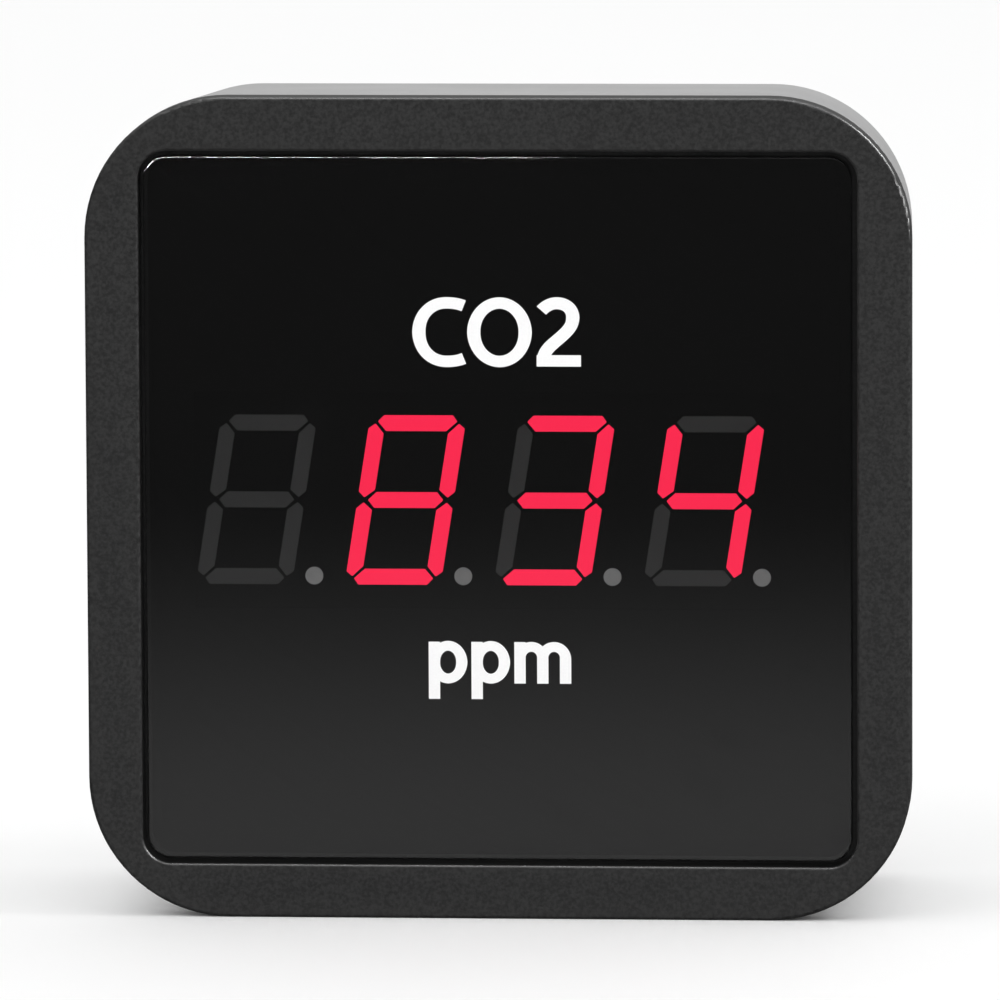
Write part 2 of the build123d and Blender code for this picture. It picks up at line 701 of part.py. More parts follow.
def sensor_spacers():
    """The plastic strips of the two pin headers, between the boards."""
    strips = []
    for side, count in ((-1, SENSOR_PINS_LEFT), (1, SENSOR_PINS_RIGHT)):
        length = count * PIN_PITCH
        strip = block(side * SENSOR_PIN_X, SENSOR_Z, SPACER_WIDTH, length, BOARD_BACK, SENSOR_BOARD_FRONT)
        for x, z in sensor_pin_places():
            if x * side > 0:
                strip -= block(x, z, PIN_WIDTH, PIN_WIDTH, BOARD_BACK, SENSOR_BOARD_FRONT)
        strips.append(strip)
    return strips


def sensor_pins():
    return [block(x, z, PIN_WIDTH, PIN_WIDTH, SENSOR_PIN_FRONT, SENSOR_PIN_BACK)
            for x, z in sensor_pin_places()]


# ---- Rear shell

def shell_form(inset, back):
    """The shell's form, from the joint to a depth, with its walls moved in by an inset. The base is level,
    and the top and the sides draw in towards the back."""
    taper = (back - JOINT) * tan(radians(DRAFT))
    half = BODY / 2 - inset
    top = BODY - inset
    plan = Polygon((-half, JOINT), (half, JOINT), (half - taper, back), (taper - half, back), align=None)
    side = Polygon((JOINT, inset), (back, inset), (back, top - taper), (JOINT, top), align=None)
    form = extrude(plan, amount=BODY, dir=(0, 0, 1)) & bar(side, -BODY / 2, BODY / 2)
    corners = form.edges().filter_by(lambda edge: abs(edge.tangent_at(0.5).Y) > 0.9)
    return fillet(corners, CORNER - inset)


def back_holes():
    """What goes straight through the back wall: vents, sound holes, key holes and screw holes."""
    holes = []
    for number in range(BACK_VENTS):
        x = (number - (BACK_VENTS - 1) / 2) * VENT_PITCH
        vent = Pos(x, BACK_VENT_Z) * SlotOverall(VENT_LENGTH, VENT_WIDTH, rotation=90)
        holes.append(slab(vent, INNER_BACK, BACK))
    places = [(0.0, 0.0)]
    for number in range(SOUND_RING_HOLES):
        angle = 2 * pi * number / SOUND_RING_HOLES
        places.append((SOUND_RING * cos(angle), SOUND_RING * sin(angle)))
    for x, z in places:
        holes.append(disc(x, KEY_Z + z, SOUND_HOLE_RADIUS, INNER_BACK, BACK))
    for x in (-KEY_X, KEY_X):
        holes.append(disc(x, KEY_Z, KEY_HOLE_RADIUS, INNER_BACK, BACK))
    for x, z in case_screw_places():
        holes.append(disc(x, z, CLEARANCE_RADIUS, BOSS_BACK, BACK))
        holes.append(disc(x, z, SEAT_RADIUS, SEAT_FLOOR, BACK))
    return holes


def side_holes():
    """The socket's opening, the power switch's slot and the vents in the right side."""
    left = -BODY / 2
    holes = [bar(usb_outline(*USB_RECESS), left, USB_MOUTH_X)]
    holes.append(bar(usb_outline(*USB_HOLE), left, left + SIDE_REACH))
    place = Pos(POWER_Y, POWER_Z)
    holes.append(bar(place * RectangleRounded(RECESS_Y, RECESS_Z, RECESS_CORNER), left, RECESS_FLOOR_X))
    slot = Rectangle(KNOB_STEM_Y + SLOT_CLEARANCE, KNOB_STEM_Z + POWER_TRAVEL + SLOT_CLEARANCE)
    holes.append(bar(place * slot, left, left + SIDE_REACH))
    for number in range(SIDE_VENTS):
        z = SIDE_VENT_Z + (number - (SIDE_VENTS - 1) / 2) * VENT_PITCH
        vent = Pos(0, z) * SlotOverall(SIDE_VENT_LENGTH, VENT_WIDTH)
        holes.append(bar(vent, BODY / 2 - SIDE_VENT_REACH, BODY / 2))
    return holes


def keyhole(x):
    """The outline that a hanging screw needs, round below and narrow above."""
    rise = Pos(x, HANG_Z + HANG_RISE / 2) * Rectangle(2 * HANG_SLOT_RADIUS, HANG_RISE)
    outline = Pos(x, HANG_Z) * Circle(HANG_RADIUS) + rise
    return outline + Pos(x, HANG_Z + HANG_RISE) * Circle(HANG_SLOT_RADIUS)


def pocket_outline(x, margin):
    """The closed pocket behind a keyhole, wide enough for the screw's head all the way up."""
    reach = HANG_RADIUS + margin
    outline = RectangleRounded(2 * reach, 2 * reach + HANG_RISE, reach - POCKET_FLAT / 2)
    return Pos(x, HANG_Z + HANG_RISE / 2) * outline


def rear_shell():
    """The cup behind the frame, with guide sleeves for the keys and pockets behind the keyholes."""
    shell = shell_form(0, BACK)
    shell = fillet(shell.faces().sort_by(Axis.Y)[-1].edges(), BACK_ROUND)
    shell -= shell_form(WALL, INNER_BACK)
    for x in (-KEY_X, KEY_X):
        shell += disc(x, KEY_Z, SLEEVE_OUTER, SLEEVE_FRONT, INNER_BACK)
        shell -= disc(x, KEY_Z, SLEEVE_INNER, SLEEVE_FRONT, INNER_BACK)
    for x, z in case_screw_places():
        shell += disc(x, z, PAD_RADIUS, BOSS_BACK, INNER_BACK)
    for x in (-HANG_X, HANG_X):
        shell += slab(pocket_outline(x, POCKET_MARGIN + POCKET_WALL), POCKET_FRONT - POCKET_WALL, INNER_BACK)
        shell -= slab(pocket_outline(x, POCKET_MARGIN), POCKET_FRONT, INNER_BACK)
        shell -= slab(keyhole(x), INNER_BACK, BACK)
    for hole in back_holes() + side_holes():
        shell -= hole
    return shell


def case_screws():
    tip = BOSS_BACK - PILOT_DEPTH + SCREW_SPARE
    return [screw(x, z, SEAT_FLOOR, SCREW_RADIUS, tip, HEAD_RADIUS, HEAD_HEIGHT)
            for x, z in case_screw_places()]


os.makedirs("parts", exist_ok=True)

save("front_frame", front_frame())
save("display_window", display_window())
save("window_tape", window_tape())
save("display_mask", display_mask())

save("display_housing", display_housing())
save("segments_lit", *segments(True))
save("segments_unlit", *segments(False))
save("decimal_points", *decimal_points())
save("display_pins", *display_pins())

save("main_pcb", main_pcb())
save("pcb_screws", *pcb_screws())
save("microcontroller", chip(CONTROLLER))
save("display_driver", chip(DRIVER))
save("chip_leads", *chip_leads())
save("voltage_regulator", voltage_regulator())
save("electrolytic_capacitors", *electrolytic_capacitors())
save("crystal", crystal())
save("chip_resistors", *small_parts(RESISTOR_X, RESISTOR_Z, RESISTORS, RESISTOR_SIZE))
save("chip_capacitors", *small_parts(CERAMIC_X, CERAMIC_Z, CERAMICS, CERAMIC_SIZE))
save("buzzer", buzzer())

save("key_switches", *key_switches())
save("alarm_plunger", plunger(-KEY_X))
save("calibration_plunger", plunger(KEY_X))
save("alarm_button", key_cap(-KEY_X))
save("calibration_button", key_cap(KEY_X))

save("power_switch", power_switch())
save("power_lever", power_lever())
save("power_knob", power_knob())

save("usb_c_shell", usb_c_shell())
save("usb_c_tongue", usb_c_tongue())
save("usb_c_contacts", *usb_c_contacts())

save("sensor_pcb", sensor_pcb())
save("sensor_chamber", sensor_chamber())
save("sensor_membranes", *sensor_membranes())
save("sensor_lamp", sensor_lamp())
save("sensor_detector", sensor_detector())
save("sensor_spacers", *sensor_spacers())
save("sensor_pins", *sensor_pins())

save("rear_shell", rear_shell())
save("case_screws", *case_screws())
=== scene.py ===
import json
import math

import bmesh
import bpy
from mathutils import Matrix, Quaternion, Vector
from mathutils.geometry import delaunay_2d_cdt


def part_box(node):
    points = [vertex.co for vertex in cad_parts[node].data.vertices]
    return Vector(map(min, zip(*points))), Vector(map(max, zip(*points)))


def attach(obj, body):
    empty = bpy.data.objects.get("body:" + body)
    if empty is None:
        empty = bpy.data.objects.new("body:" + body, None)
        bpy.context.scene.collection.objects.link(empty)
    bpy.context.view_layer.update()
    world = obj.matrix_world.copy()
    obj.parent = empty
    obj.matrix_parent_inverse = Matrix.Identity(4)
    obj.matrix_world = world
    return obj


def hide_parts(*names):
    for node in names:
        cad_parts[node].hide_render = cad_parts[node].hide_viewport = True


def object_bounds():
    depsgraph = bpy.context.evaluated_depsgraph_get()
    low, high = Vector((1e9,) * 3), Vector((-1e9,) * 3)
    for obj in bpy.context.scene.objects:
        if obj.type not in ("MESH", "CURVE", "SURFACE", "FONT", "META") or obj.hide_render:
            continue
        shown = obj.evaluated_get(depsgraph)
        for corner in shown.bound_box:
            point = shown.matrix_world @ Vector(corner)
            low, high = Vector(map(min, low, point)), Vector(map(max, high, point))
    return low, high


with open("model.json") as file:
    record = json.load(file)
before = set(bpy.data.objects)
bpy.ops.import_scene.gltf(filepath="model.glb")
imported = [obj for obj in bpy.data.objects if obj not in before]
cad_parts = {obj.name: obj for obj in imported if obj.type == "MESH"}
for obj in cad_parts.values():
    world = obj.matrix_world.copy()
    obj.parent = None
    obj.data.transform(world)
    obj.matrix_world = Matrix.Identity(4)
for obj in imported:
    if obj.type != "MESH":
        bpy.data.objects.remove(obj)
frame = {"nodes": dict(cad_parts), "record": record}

# A carbon dioxide monitor: the CAD nodes with procedural materials, a window pane in place of the plain one,
# and the ink of its two legends.
# Lengths are in metres in the frame of the CAD: +X right, +Y back, +Z up.

MM = 0.001
cad_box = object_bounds()
nodes = frame["nodes"]

# Camera, from the front, a little to the right and above. Its roll shares the lean between level and upright
# lines.
AZIMUTH = 4.3
ELEVATION = 6.8
ROLL = -0.26
DISTANCE = 0.92
LENS = 391.5
AIM_X = 0.2 * MM
AIM_Z = 35.86 * MM

# The room, as gloss reflects it: brightnesses, and where each part begins and is full, as the depth (+Y) or
# the height (+Z) of a direction. In front it is dark down to a bright table, whose near edge is brightest.
AMBIENT = 1.03
FRONT_DARK = 0.17
FRONT_SPAN = (-0.6, -0.9)
TABLE_BRIGHT = 1.22
TABLE_SPAN = (-0.1165, -0.149)
UNDER_TABLE = 0.15
UNDER_TABLE_SPAN = (-0.265, -0.165)
SIDES_DARK = 0.08
WALL_BEHIND = 0.15
WALL_SPAN = (0.2, 0.9)
CEILING = 0.9
CEILING_SPAN = (0.25, 0.7)

# Floor and area lights: all face LIT_POINT
FLOOR_HALF = 2.5
LIT_POINT = (0.0, 0.0, 0.035)
KEY = {"place": (-0.45, -0.55, 0.75), "width": 0.6, "length": 0.6, "power": 1.0}
TOP_STRIP = {"place": (-0.1, -0.12, 0.95), "width": 0.7, "length": 0.08, "power": 7.0}
CORNER_GLINT = {"place": (0.54, -0.09, 0.5), "width": 0.12, "length": 0.12, "power": 14.0}
PANE_TOP_GLINT = {"place": (-0.25, -0.7, 0.6), "width": 0.4, "length": 0.08, "power": 18.0}
PANE_CORNER_GLINT = {"place": (-0.62, -0.62, 0.4), "width": 0.3, "length": 0.5, "power": 90.0}

# Colours
FRAME_COLOUR = (0.0094, 0.0094, 0.0094, 1.0)
SHELL_COLOUR = (0.42, 0.42, 0.42, 1.0)
KEY_COLOUR = (0.03, 0.03, 0.031, 1.0)
LIT_GLOW = (1.0, 0.016, 0.075, 1.0)
LIT_STRENGTH = 2.4
BOARD_GREEN = (0.012, 0.085, 0.035, 1.0)
TRACK_GREEN = (0.03, 0.16, 0.06, 1.0)
WINDOW_ALPHA = 0.6  # the share of light that the smoked pane stops

# Window
WINDOW_CORNER = 2.0 * MM
WINDOW_EDGE = 0.18 * MM
EDGE_STEPS = 4
CORNER_STEPS = 16

# Legends on the window, in mm: x from the window's middle, z from the base
INK_THICKNESS = 0.03
CO2_MIDDLE_Z = 50.1
CO2_UPRIGHT_STROKE = 1.13
CO2_LEVEL_STROKE = 0.97
PPM_BASE_Z = 20.17
PPM_UPRIGHT_STROKE = 0.96
PPM_LEVEL_STROKE = 0.84
CURVE_STEPS = 20


# ---- Node trees

class Tree:
    """A material's or world's nodes. add() makes a node and sets or links its inputs by name."""

    def __init__(self, owner):
        owner.use_nodes = True
        self.nodes = owner.node_tree.nodes
        self.links = owner.node_tree.links

    def add(self, kind, settings=None, **inputs):
        node = self.nodes.new("ShaderNode" + kind)
        for name, value in (settings or {}).items():
            setattr(node, name, value)
        for name, value in inputs.items():
            self.put(node.inputs[name.replace("_", " ")], value)
        return node

    def put(self, socket, value):
        if isinstance(value, bpy.types.Node):
            value = value.outputs[0]
        if isinstance(value, bpy.types.NodeSocket):
            self.links.new(value, socket)
        else:
            socket.default_value = value

    def math(self, operation, first, second=0.0):
        node = self.add("Math", {"operation": operation})
        self.put(node.inputs[0], first)
        self.put(node.inputs[1], second)
        return node

    def span(self, value, low, high, to_low=0.0, to_high=1.0):
        """The value, stretched from one range to another and held at its ends."""
        node = self.add("MapRange", {"interpolation_type": "SMOOTHSTEP"})
        for name, number in (("Value", value), ("From Min", low), ("From Max", high),
                             ("To Min", to_low), ("To Max", to_high)):
            self.put(node.inputs[name], number)
        return node

    def blend(self, factor, first, second):
        """A mix of two colours."""
        node = self.add("Mix", {"data_type": "RGBA"})
        self.put(node.inputs["Factor"], factor)
        self.put(node.inputs[6], first)
        self.put(node.inputs[7], second)
        return node.outputs[2]


def grey(value):
    return (value, value, value, 1.0)


def shade(colour, factor):
    return tuple(min(1.0, part * factor) for part in colour[:3]) + (1.0,)


def new_material(name, colour, roughness, metallic=0.0, **sockets):
    """A material with its Principled shader set from plain numbers, and the place on the object."""
    material = bpy.data.materials.new(name)
    tree = Tree(material)
    shader = tree.nodes["Principled BSDF"]
    shader.inputs["Base Color"].default_value = colour
    shader.inputs["Roughness"].default_value = roughness
    shader.inputs["Metallic"].default_value = metallic
    for socket, value in sockets.items():
        shader.inputs[socket.replace("_", " ")].default_value = value
    place = tree.add("TexCoord").outputs["Object"]
    return material, tree, shader, place


def edge_mask(tree, radius):
    """1 on the edges of the shape and 0 away from them."""
    rounded = tree.add("Bevel", {"samples": 4}, Radius=radius)
    flat = tree.add("NewGeometry").outputs["Normal"]
    along = tree.add("VectorMath", {"operation": "DOT_PRODUCT"})
    tree.put(along.inputs[0], rounded.outputs["Normal"])
    tree.put(along.inputs[1], flat)
    return tree.span(along.outputs["Value"], 0.97, 0.72)


def noise(tree, place, size, detail=2.0, roughness=0.5):
    """Cloudy noise whose blotches are about the given size in metres."""
    return tree.add("TexNoise", Vector=place, Scale=1.0 / size, Detail=detail, Roughness=roughness)


def raise_bumps(tree, shader, height, depth, round_edges=0.0):
    """Relief from a height, over edges softened to a radius."""
    bump = tree.add("Bump", Height=height, Distance=depth)
    if round_edges:
        tree.put(bump.inputs["Normal"], tree.add("Bevel", {"samples": 6}, Radius=round_edges))
    tree.put(shader.inputs["Normal"], bump.outputs["Normal"])


# ---- Materials

def moulded_plastic(name, colour, roughness, grain, relief, wear, polish, speckle=1.25):
    """Grained moulded plastic: fine grain, a faint cloudiness, and edges worn lighter and smoother.
    speckle is how much lighter the tops of the grain are."""
    material, tree, shader, place = new_material(name, colour, roughness)
    cloud = noise(tree, place, 14 * MM, 4.0)
    fine = noise(tree, place, grain, 3.0, 0.6)
    tone = tree.blend(tree.span(cloud, 0.35, 0.65), shade(colour, 0.95), shade(colour, 1.05))
    tone = tree.blend(tree.span(fine, 0.3, 0.7, 0.0, 0.5), tone, shade(colour, speckle))
    edge = edge_mask(tree, 0.35 * MM)
    scuff = tree.span(noise(tree, place, 1.6 * MM, 5.0, 0.7), 0.42, 0.68)
    worn = tree.math("MULTIPLY", edge, tree.math("MULTIPLY", scuff, wear))
    tone = tree.blend(worn, tone, shade(colour, 1.9))
    tree.put(shader.inputs["Base Color"], tone)
    rough = tree.span(fine, 0.3, 0.7, roughness - 0.06, roughness + 0.06)
    rough = tree.math("SUBTRACT", rough, tree.math("MULTIPLY", worn, polish))
    tree.put(shader.inputs["Roughness"], rough)
    raise_bumps(tree, shader, fine, relief, 0.06 * MM)
    return material


def smoked_acrylic():
    """The window's front and sides: near-black, see-through, polished, with faint wipe marks in its gloss."""
    material, tree, shader, place = new_material("smoked_acrylic", grey(0.0022), 0.03, IOR=1.49,
                                                 Alpha=WINDOW_ALPHA)
    haze = noise(tree, place, 22 * MM, 5.0, 0.65)
    wiped = tree.add("TexWave", {"wave_type": "BANDS", "bands_direction": "DIAGONAL"}, Vector=place,
                     Scale=90.0, Distortion=9.0, Detail=3.0)
    marks = tree.math("MULTIPLY", tree.span(haze, 0.5, 0.75), wiped)
    tree.put(shader.inputs["Roughness"], tree.span(marks, 0.0, 1.0, 0.025, 0.075))
    tree.put(shader.inputs["Base Color"], tree.blend(haze, grey(0.0018), grey(0.0028)))
    return material


def window_back():
    """The window's back face, wetted by the adhesive, so it has next to no gloss of its own."""
    material, tree, shader, place = new_material("window_back", grey(0.002), 0.9, IOR=1.0, Alpha=0.04)
    shader.inputs["Specular IOR Level"].default_value = 0.0
    haze = noise(tree, place, 9 * MM, 3.0)
    tree.put(shader.inputs["Base Color"], tree.blend(haze, grey(0.0015), grey(0.0025)))
    tree.put(shader.inputs["Roughness"], tree.span(haze, 0.3, 0.7, 0.85, 0.95))
    return material


def printed_ink():
    material, tree, shader, place = new_material("printed_ink", grey(0.9), 0.45)
    speck = noise(tree, place, 0.15 * MM, 2.0)
    tree.put(shader.inputs["Base Color"], tree.blend(speck, grey(0.88), grey(0.98)))
    tree.put(shader.inputs["Roughness"], tree.span(speck, 0.3, 0.7, 0.4, 0.55))
    raise_bumps(tree, shader, speck, 0.004 * MM)
    return material


def diffuser(name, colour, glow=None, strength=0.0):
    """A segment of the display: milky plastic that glows where it is lit."""
    material, tree, shader, place = new_material(name, colour, 0.5)
    cloud = noise(tree, place, 0.8 * MM, 3.0)
    tree.put(shader.inputs["Base Color"], tree.blend(cloud, shade(colour, 0.9), shade(colour, 1.1)))
    tree.put(shader.inputs["Roughness"], tree.span(cloud, 0.3, 0.7, 0.42, 0.58))
    if glow:
        tree.put(shader.inputs["Emission Color"], tree.blend(cloud, shade(glow, 0.97), shade(glow, 1.0)))
        shader.inputs["Emission Strength"].default_value = strength
    return material


def dull_black(name, value, roughness, size, gloss=0.5):
    """Black film, tape or filled epoxy: dull, with a fine tooth."""
    material, tree, shader, place = new_material(name, grey(value), roughness, Specular_IOR_Level=gloss)
    tooth = noise(tree, place, size, 3.0)
    tree.put(shader.inputs["Base Color"], tree.blend(tooth, grey(value * 0.8), grey(value * 1.25)))
    tree.put(shader.inputs["Roughness"], tree.span(tooth, 0.3, 0.7, roughness - 0.08, roughness + 0.08))
    raise_bumps(tree, shader, tooth, size * 0.04)
    return material


def metal(name, colour, roughness, brush, scratch=0.15):
    """Plated or drawn metal: fine brush lines, blotchy roughness and slightly brighter edges."""
    material, tree, shader, place = new_material(name, colour, roughness, 1.0)
    stretch = tree.add("Mapping", Vector=place, Scale=(1.0, 0.08, 1.0))
    lines = noise(tree, stretch, brush, 3.0, 0.7)
    blotch = noise(tree, place, 2.0 * MM, 4.0)
    tone = tree.blend(tree.span(blotch, 0.35, 0.65), shade(colour, 0.88), shade(colour, 1.04))
    tone = tree.blend(tree.math("MULTIPLY", edge_mask(tree, 0.12 * MM), 0.5), tone, shade(colour, 1.2))
    tree.put(shader.inputs["Base Color"], tone)
    rough = tree.span(lines, 0.3, 0.7, roughness - scratch / 2, roughness + scratch / 2)
    tree.put(shader.inputs["Roughness"], rough)
    raise_bumps(tree, shader, lines, brush * 0.02)
    return material


def circuit_board():
    """Green solder mask over copper tracks, which show as paler raised lines on a square grid."""
    material, tree, shader, place = new_material("circuit_board", BOARD_GREEN, 0.32)
    cells = tree.add("TexVoronoi", {"distance": "MANHATTAN", "feature": "F1"}, Vector=place, Scale=260.0)
    tracks = tree.span(tree.math("PINGPONG", cells.outputs["Distance"], 0.12), 0.045, 0.06)
    weave = noise(tree, place, 0.5 * MM, 2.0)
    tone = tree.blend(tracks, BOARD_GREEN, TRACK_GREEN)
    tone = tree.blend(tree.span(weave, 0.3, 0.7, 0.0, 0.3), tone, shade(BOARD_GREEN, 0.6))
    tree.put(shader.inputs["Base Color"], tone)
    tree.put(shader.inputs["Roughness"], tree.span(weave, 0.3, 0.7, 0.25, 0.4))
    raise_bumps(tree, shader, tracks, 0.03 * MM)
    return material


def membrane():
    """White porous membrane, lightly fibrous."""
    material, tree, shader, place = new_material("white_membrane", grey(0.82), 0.85)
    pores = tree.add("TexVoronoi", Vector=place, Scale=5000.0)
    fibres = noise(tree, place, 0.6 * MM, 5.0, 0.7)
    tree.put(shader.inputs["Base Color"], tree.blend(fibres, (0.72, 0.71, 0.67, 1.0), (0.9, 0.89, 0.86, 1.0)))
    tree.put(shader.inputs["Roughness"], tree.span(fibres, 0.3, 0.7, 0.78, 0.92))
    raise_bumps(tree, shader, pores.outputs["Distance"], 0.02 * MM)
    return material


def lamp_glass():
    material, tree, shader, place = new_material("lamp_glass", grey(0.9), 0.05, IOR=1.5, Alpha=0.35)
    film = noise(tree, place, 0.7 * MM, 3.0)
    tree.put(shader.inputs["Roughness"], tree.span(film, 0.3, 0.7, 0.03, 0.12))
    tree.put(shader.inputs["Base Color"], tree.blend(film, grey(0.8), grey(0.95)))
    return material


materials = {
    "frame_plastic": moulded_plastic("frame_plastic", FRAME_COLOUR, 0.44, grain=0.3 * MM, relief=0.008 * MM,
                                     wear=0.35, polish=0.12, speckle=4.0),
    "shell_plastic": moulded_plastic("shell_plastic", SHELL_COLOUR, 0.48, grain=0.3 * MM, relief=0.008 * MM,
                                     wear=0.25, polish=0.1),
    "key_plastic": moulded_plastic("key_plastic", KEY_COLOUR, 0.42, grain=0.16 * MM, relief=0.006 * MM,
                                   wear=0.6, polish=0.15),
    "black_plastic": moulded_plastic("black_plastic", (0.014, 0.014, 0.015, 1.0), 0.45, grain=0.12 * MM,
                                     relief=0.004 * MM, wear=0.4, polish=0.1),
    "smoked_acrylic": smoked_acrylic(),
    "window_back": window_back(),
    "printed_ink": printed_ink(),
    "adhesive_tape": dull_black("adhesive_tape", 0.0025, 0.85, 0.3 * MM, 0.05),
    "black_film": dull_black("black_film", 0.0025, 0.85, 0.2 * MM, 0.05),
    "display_body": dull_black("display_body", 0.0025, 0.85, 0.15 * MM, 0.05),
    "chip_epoxy": dull_black("chip_epoxy", 0.016, 0.6, 0.08 * MM),
    "segment_lit": diffuser("segment_lit", (0.25, 0.01, 0.02, 1.0), LIT_GLOW, LIT_STRENGTH),
    "segment_unlit": diffuser("segment_unlit", grey(0.13)),
    "point_unlit": diffuser("point_unlit", grey(0.8)),
    "tinned_metal": metal("tinned_metal", (0.62, 0.62, 0.6, 1.0), 0.35, 0.05 * MM),
    "zinc_steel": metal("zinc_steel", (0.58, 0.59, 0.6, 1.0), 0.3, 0.08 * MM, 0.2),
    "socket_steel": metal("socket_steel", (0.6, 0.6, 0.6, 1.0), 0.28, 0.06 * MM),
    "nickel_can": metal("nickel_can", (0.66, 0.63, 0.57, 1.0), 0.25, 0.1 * MM),
    "aluminium_can": metal("aluminium_can", (0.78, 0.78, 0.79, 1.0), 0.32, 0.1 * MM),
    "gold_plate": metal("gold_plate", (0.86, 0.6, 0.24, 1.0), 0.28, 0.1 * MM),
    "circuit_board": circuit_board(),
    "ceramic_tan": moulded_plastic("ceramic_tan", (0.36, 0.23, 0.13, 1.0), 0.55, grain=0.1 * MM,
                                   relief=0.002 * MM, wear=0.3, polish=0.05),
    "lamp_glass": lamp_glass(),
    "white_membrane": membrane(),
}


def paint_nodes():
    """Gives each CAD node the material of its slot in the record."""
    for part in frame["record"]["subparts"]:
        node = nodes[part["node"]]
        name = "point_unlit" if part["node"] == "decimal_points" else part["material_slot"]
        for slot in node.material_slots:
            slot.material = materials[name]


# ---- Window

def rounded_square(centre, half, radius):
    """Points round a square with rounded corners, in X and Z."""
    points = []
    for quarter in range(4):
        for step in range(CORNER_STEPS + 1):
            angle = math.radians(90.0 * (quarter + step / CORNER_STEPS))
            side_x = 1 if quarter in (0, 3) else -1
            side_z = 1 if quarter in (0, 1) else -1
            points.append((centre[0] + side_x * (half - radius) + radius * math.cos(angle),
                           centre[1] + side_z * (half - radius) + radius * math.sin(angle)))
    return points


def make_window():
    """The smoked pane, with a polished edge round its front."""
    low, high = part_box("display_window")
    centre = ((low[0] + high[0]) / 2, (low[2] + high[2]) / 2)
    half = (high[0] - low[0]) / 2
    levels = []
    for step in range(EDGE_STEPS + 1):
        turn = math.radians(90.0 * step / EDGE_STEPS)
        levels.append((WINDOW_EDGE * (1 - math.sin(turn)), low[1] + WINDOW_EDGE * (1 - math.cos(turn))))
    levels.append((0.0, high[1] - WINDOW_EDGE))
    levels.append((0.0, high[1]))
    mesh = bmesh.new()
    rings = []
    for inset, depth in levels:
        outline = rounded_square(centre, half - inset, WINDOW_CORNER - inset)
        rings.append([mesh.verts.new((x, depth, z)) for x, z in outline])
    for outer, inner in zip(rings, rings[1:]):
        for place in range(len(outer)):
            after = (place + 1) % len(outer)
            face = mesh.faces.new([outer[place], outer[after], inner[after], inner[place]])
            face.smooth = True
    mesh.faces.new(rings[0])
    back = mesh.faces.new(rings[-1])
    back.material_index = 1
    bmesh.ops.recalc_face_normals(mesh, faces=mesh.faces)
    data = bpy.data.meshes.new("window_pane")
    mesh.to_mesh(data)
    mesh.free()
    data.materials.append(materials["smoked_acrylic"])
    data.materials.append(materials["window_back"])
    pane = bpy.data.objects.new("window_pane", data)
    bpy.context.collection.objects.link(pane)
    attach(pane, "case")
    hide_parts("display_window")
    return pane


# ---- Legends

def bezier(start, first, second, end):
    """Points along one cubic curve, without its last point."""
    points = []
    for step in range(CURVE_STEPS):
        t = step / CURVE_STEPS
        points.append(tuple((1 - t) ** 3 * a + 3 * (1 - t) ** 2 * t * b + 3 * (1 - t) * t * t * c + t ** 3 * d
                            for a, b, c, d in zip(start, first, second, end)))
    return points


def ellipse(centre, across, up, start=0.0, stop=360.0, steps=48):
    """Points along an ellipse's arc, from start to stop degrees."""
    count = steps if stop - start >= 360.0 else steps + 1
    angles = [math.radians(start + (stop - start) * step / steps) for step in range(count)]
    return [(centre[0] + across * math.cos(a), centre[1] + up * math.sin(a)) for a in angles]


def stroke(path, upright, level, closed=False, cut=None):
    """The outlines of a pen stroke along a path: wider where it runs up and down than where it runs level.
    cut is the direction of the edge that its two ends are cut along."""
    left = []
    right = []
    last = len(path) - 1
    for place, point in enumerate(path):
        before = path[place - 1] if place or closed else point
        after = path[(place + 1) % len(path)] if place < last or closed else point
        run = Vector((after[0] - before[0], after[1] - before[1])).normalized()
        half = (level * abs(run.x) + upright * (1 - abs(run.x))) / 2
        side = Vector((-run.y, run.x))
        if cut and place in (0, last):
            edge = Vector(cut).normalized()
            side = edge * math.copysign(1.0, edge.dot(side))
        left.append((point[0] + side.x * half, point[1] + side.y * half))
        right.append((point[0] - side.x * half, point[1] - side.y * half))
    pairs = list(zip(left, right))
    if closed:
        pairs.append(pairs[0])
    return [(a, b, d, c) for (a, b), (c, d) in zip(pairs, pairs[1:])]


def letter_c(x, z):
    upper = bezier((1.62, 2.20), (1.1, 2.42), (0.62, 2.485), (0.05, 2.485))
    upper += bezier((0.05, 2.485), (-1.3, 2.485), (-2.27, 1.42), (-2.27, 0.0))
    lower = [(a, -b) for a, b in reversed(upper)]
    path = [(x + a, z + b) for a, b in upper + [(-2.27, 0.0)] + lower]
    return stroke(path, CO2_UPRIGHT_STROKE, CO2_LEVEL_STROKE, cut=(0.0, 1.0))


def letter_o(x, z):
    return stroke(ellipse((x, z), 2.18, 2.485), CO2_UPRIGHT_STROKE, CO2_LEVEL_STROKE, closed=True)


def figure_2(x, z):
    """The figure from its left edge and its foot's underside."""
    path = bezier((0.37, 4.69), (0.7, 5.1), (1.2, 5.38), (1.7, 5.38))
    path += bezier((1.7, 5.38), (2.5, 5.38), (3.07, 4.9), (3.07, 4.18))
    path += bezier((3.07, 4.18), (3.07, 3.35), (2.5, 2.9), (1.75, 2.25))
    path += bezier((1.75, 2.25), (1.05, 1.65), (0.6, 1.3), (0.57, 0.45))
    path.append((0.57, 0.45))
    foot = [(0.0, CO2_LEVEL_STROKE / 2), (3.75, CO2_LEVEL_STROKE / 2)]
    bend = stroke([(x + a, z + b) for a, b in path], CO2_UPRIGHT_STROKE, CO2_LEVEL_STROKE * 1.05,
                  cut=(-0.25, 1.0))
    return bend + stroke([(x + a, z + b) for a, b in foot], CO2_UPRIGHT_STROKE, CO2_LEVEL_STROKE)


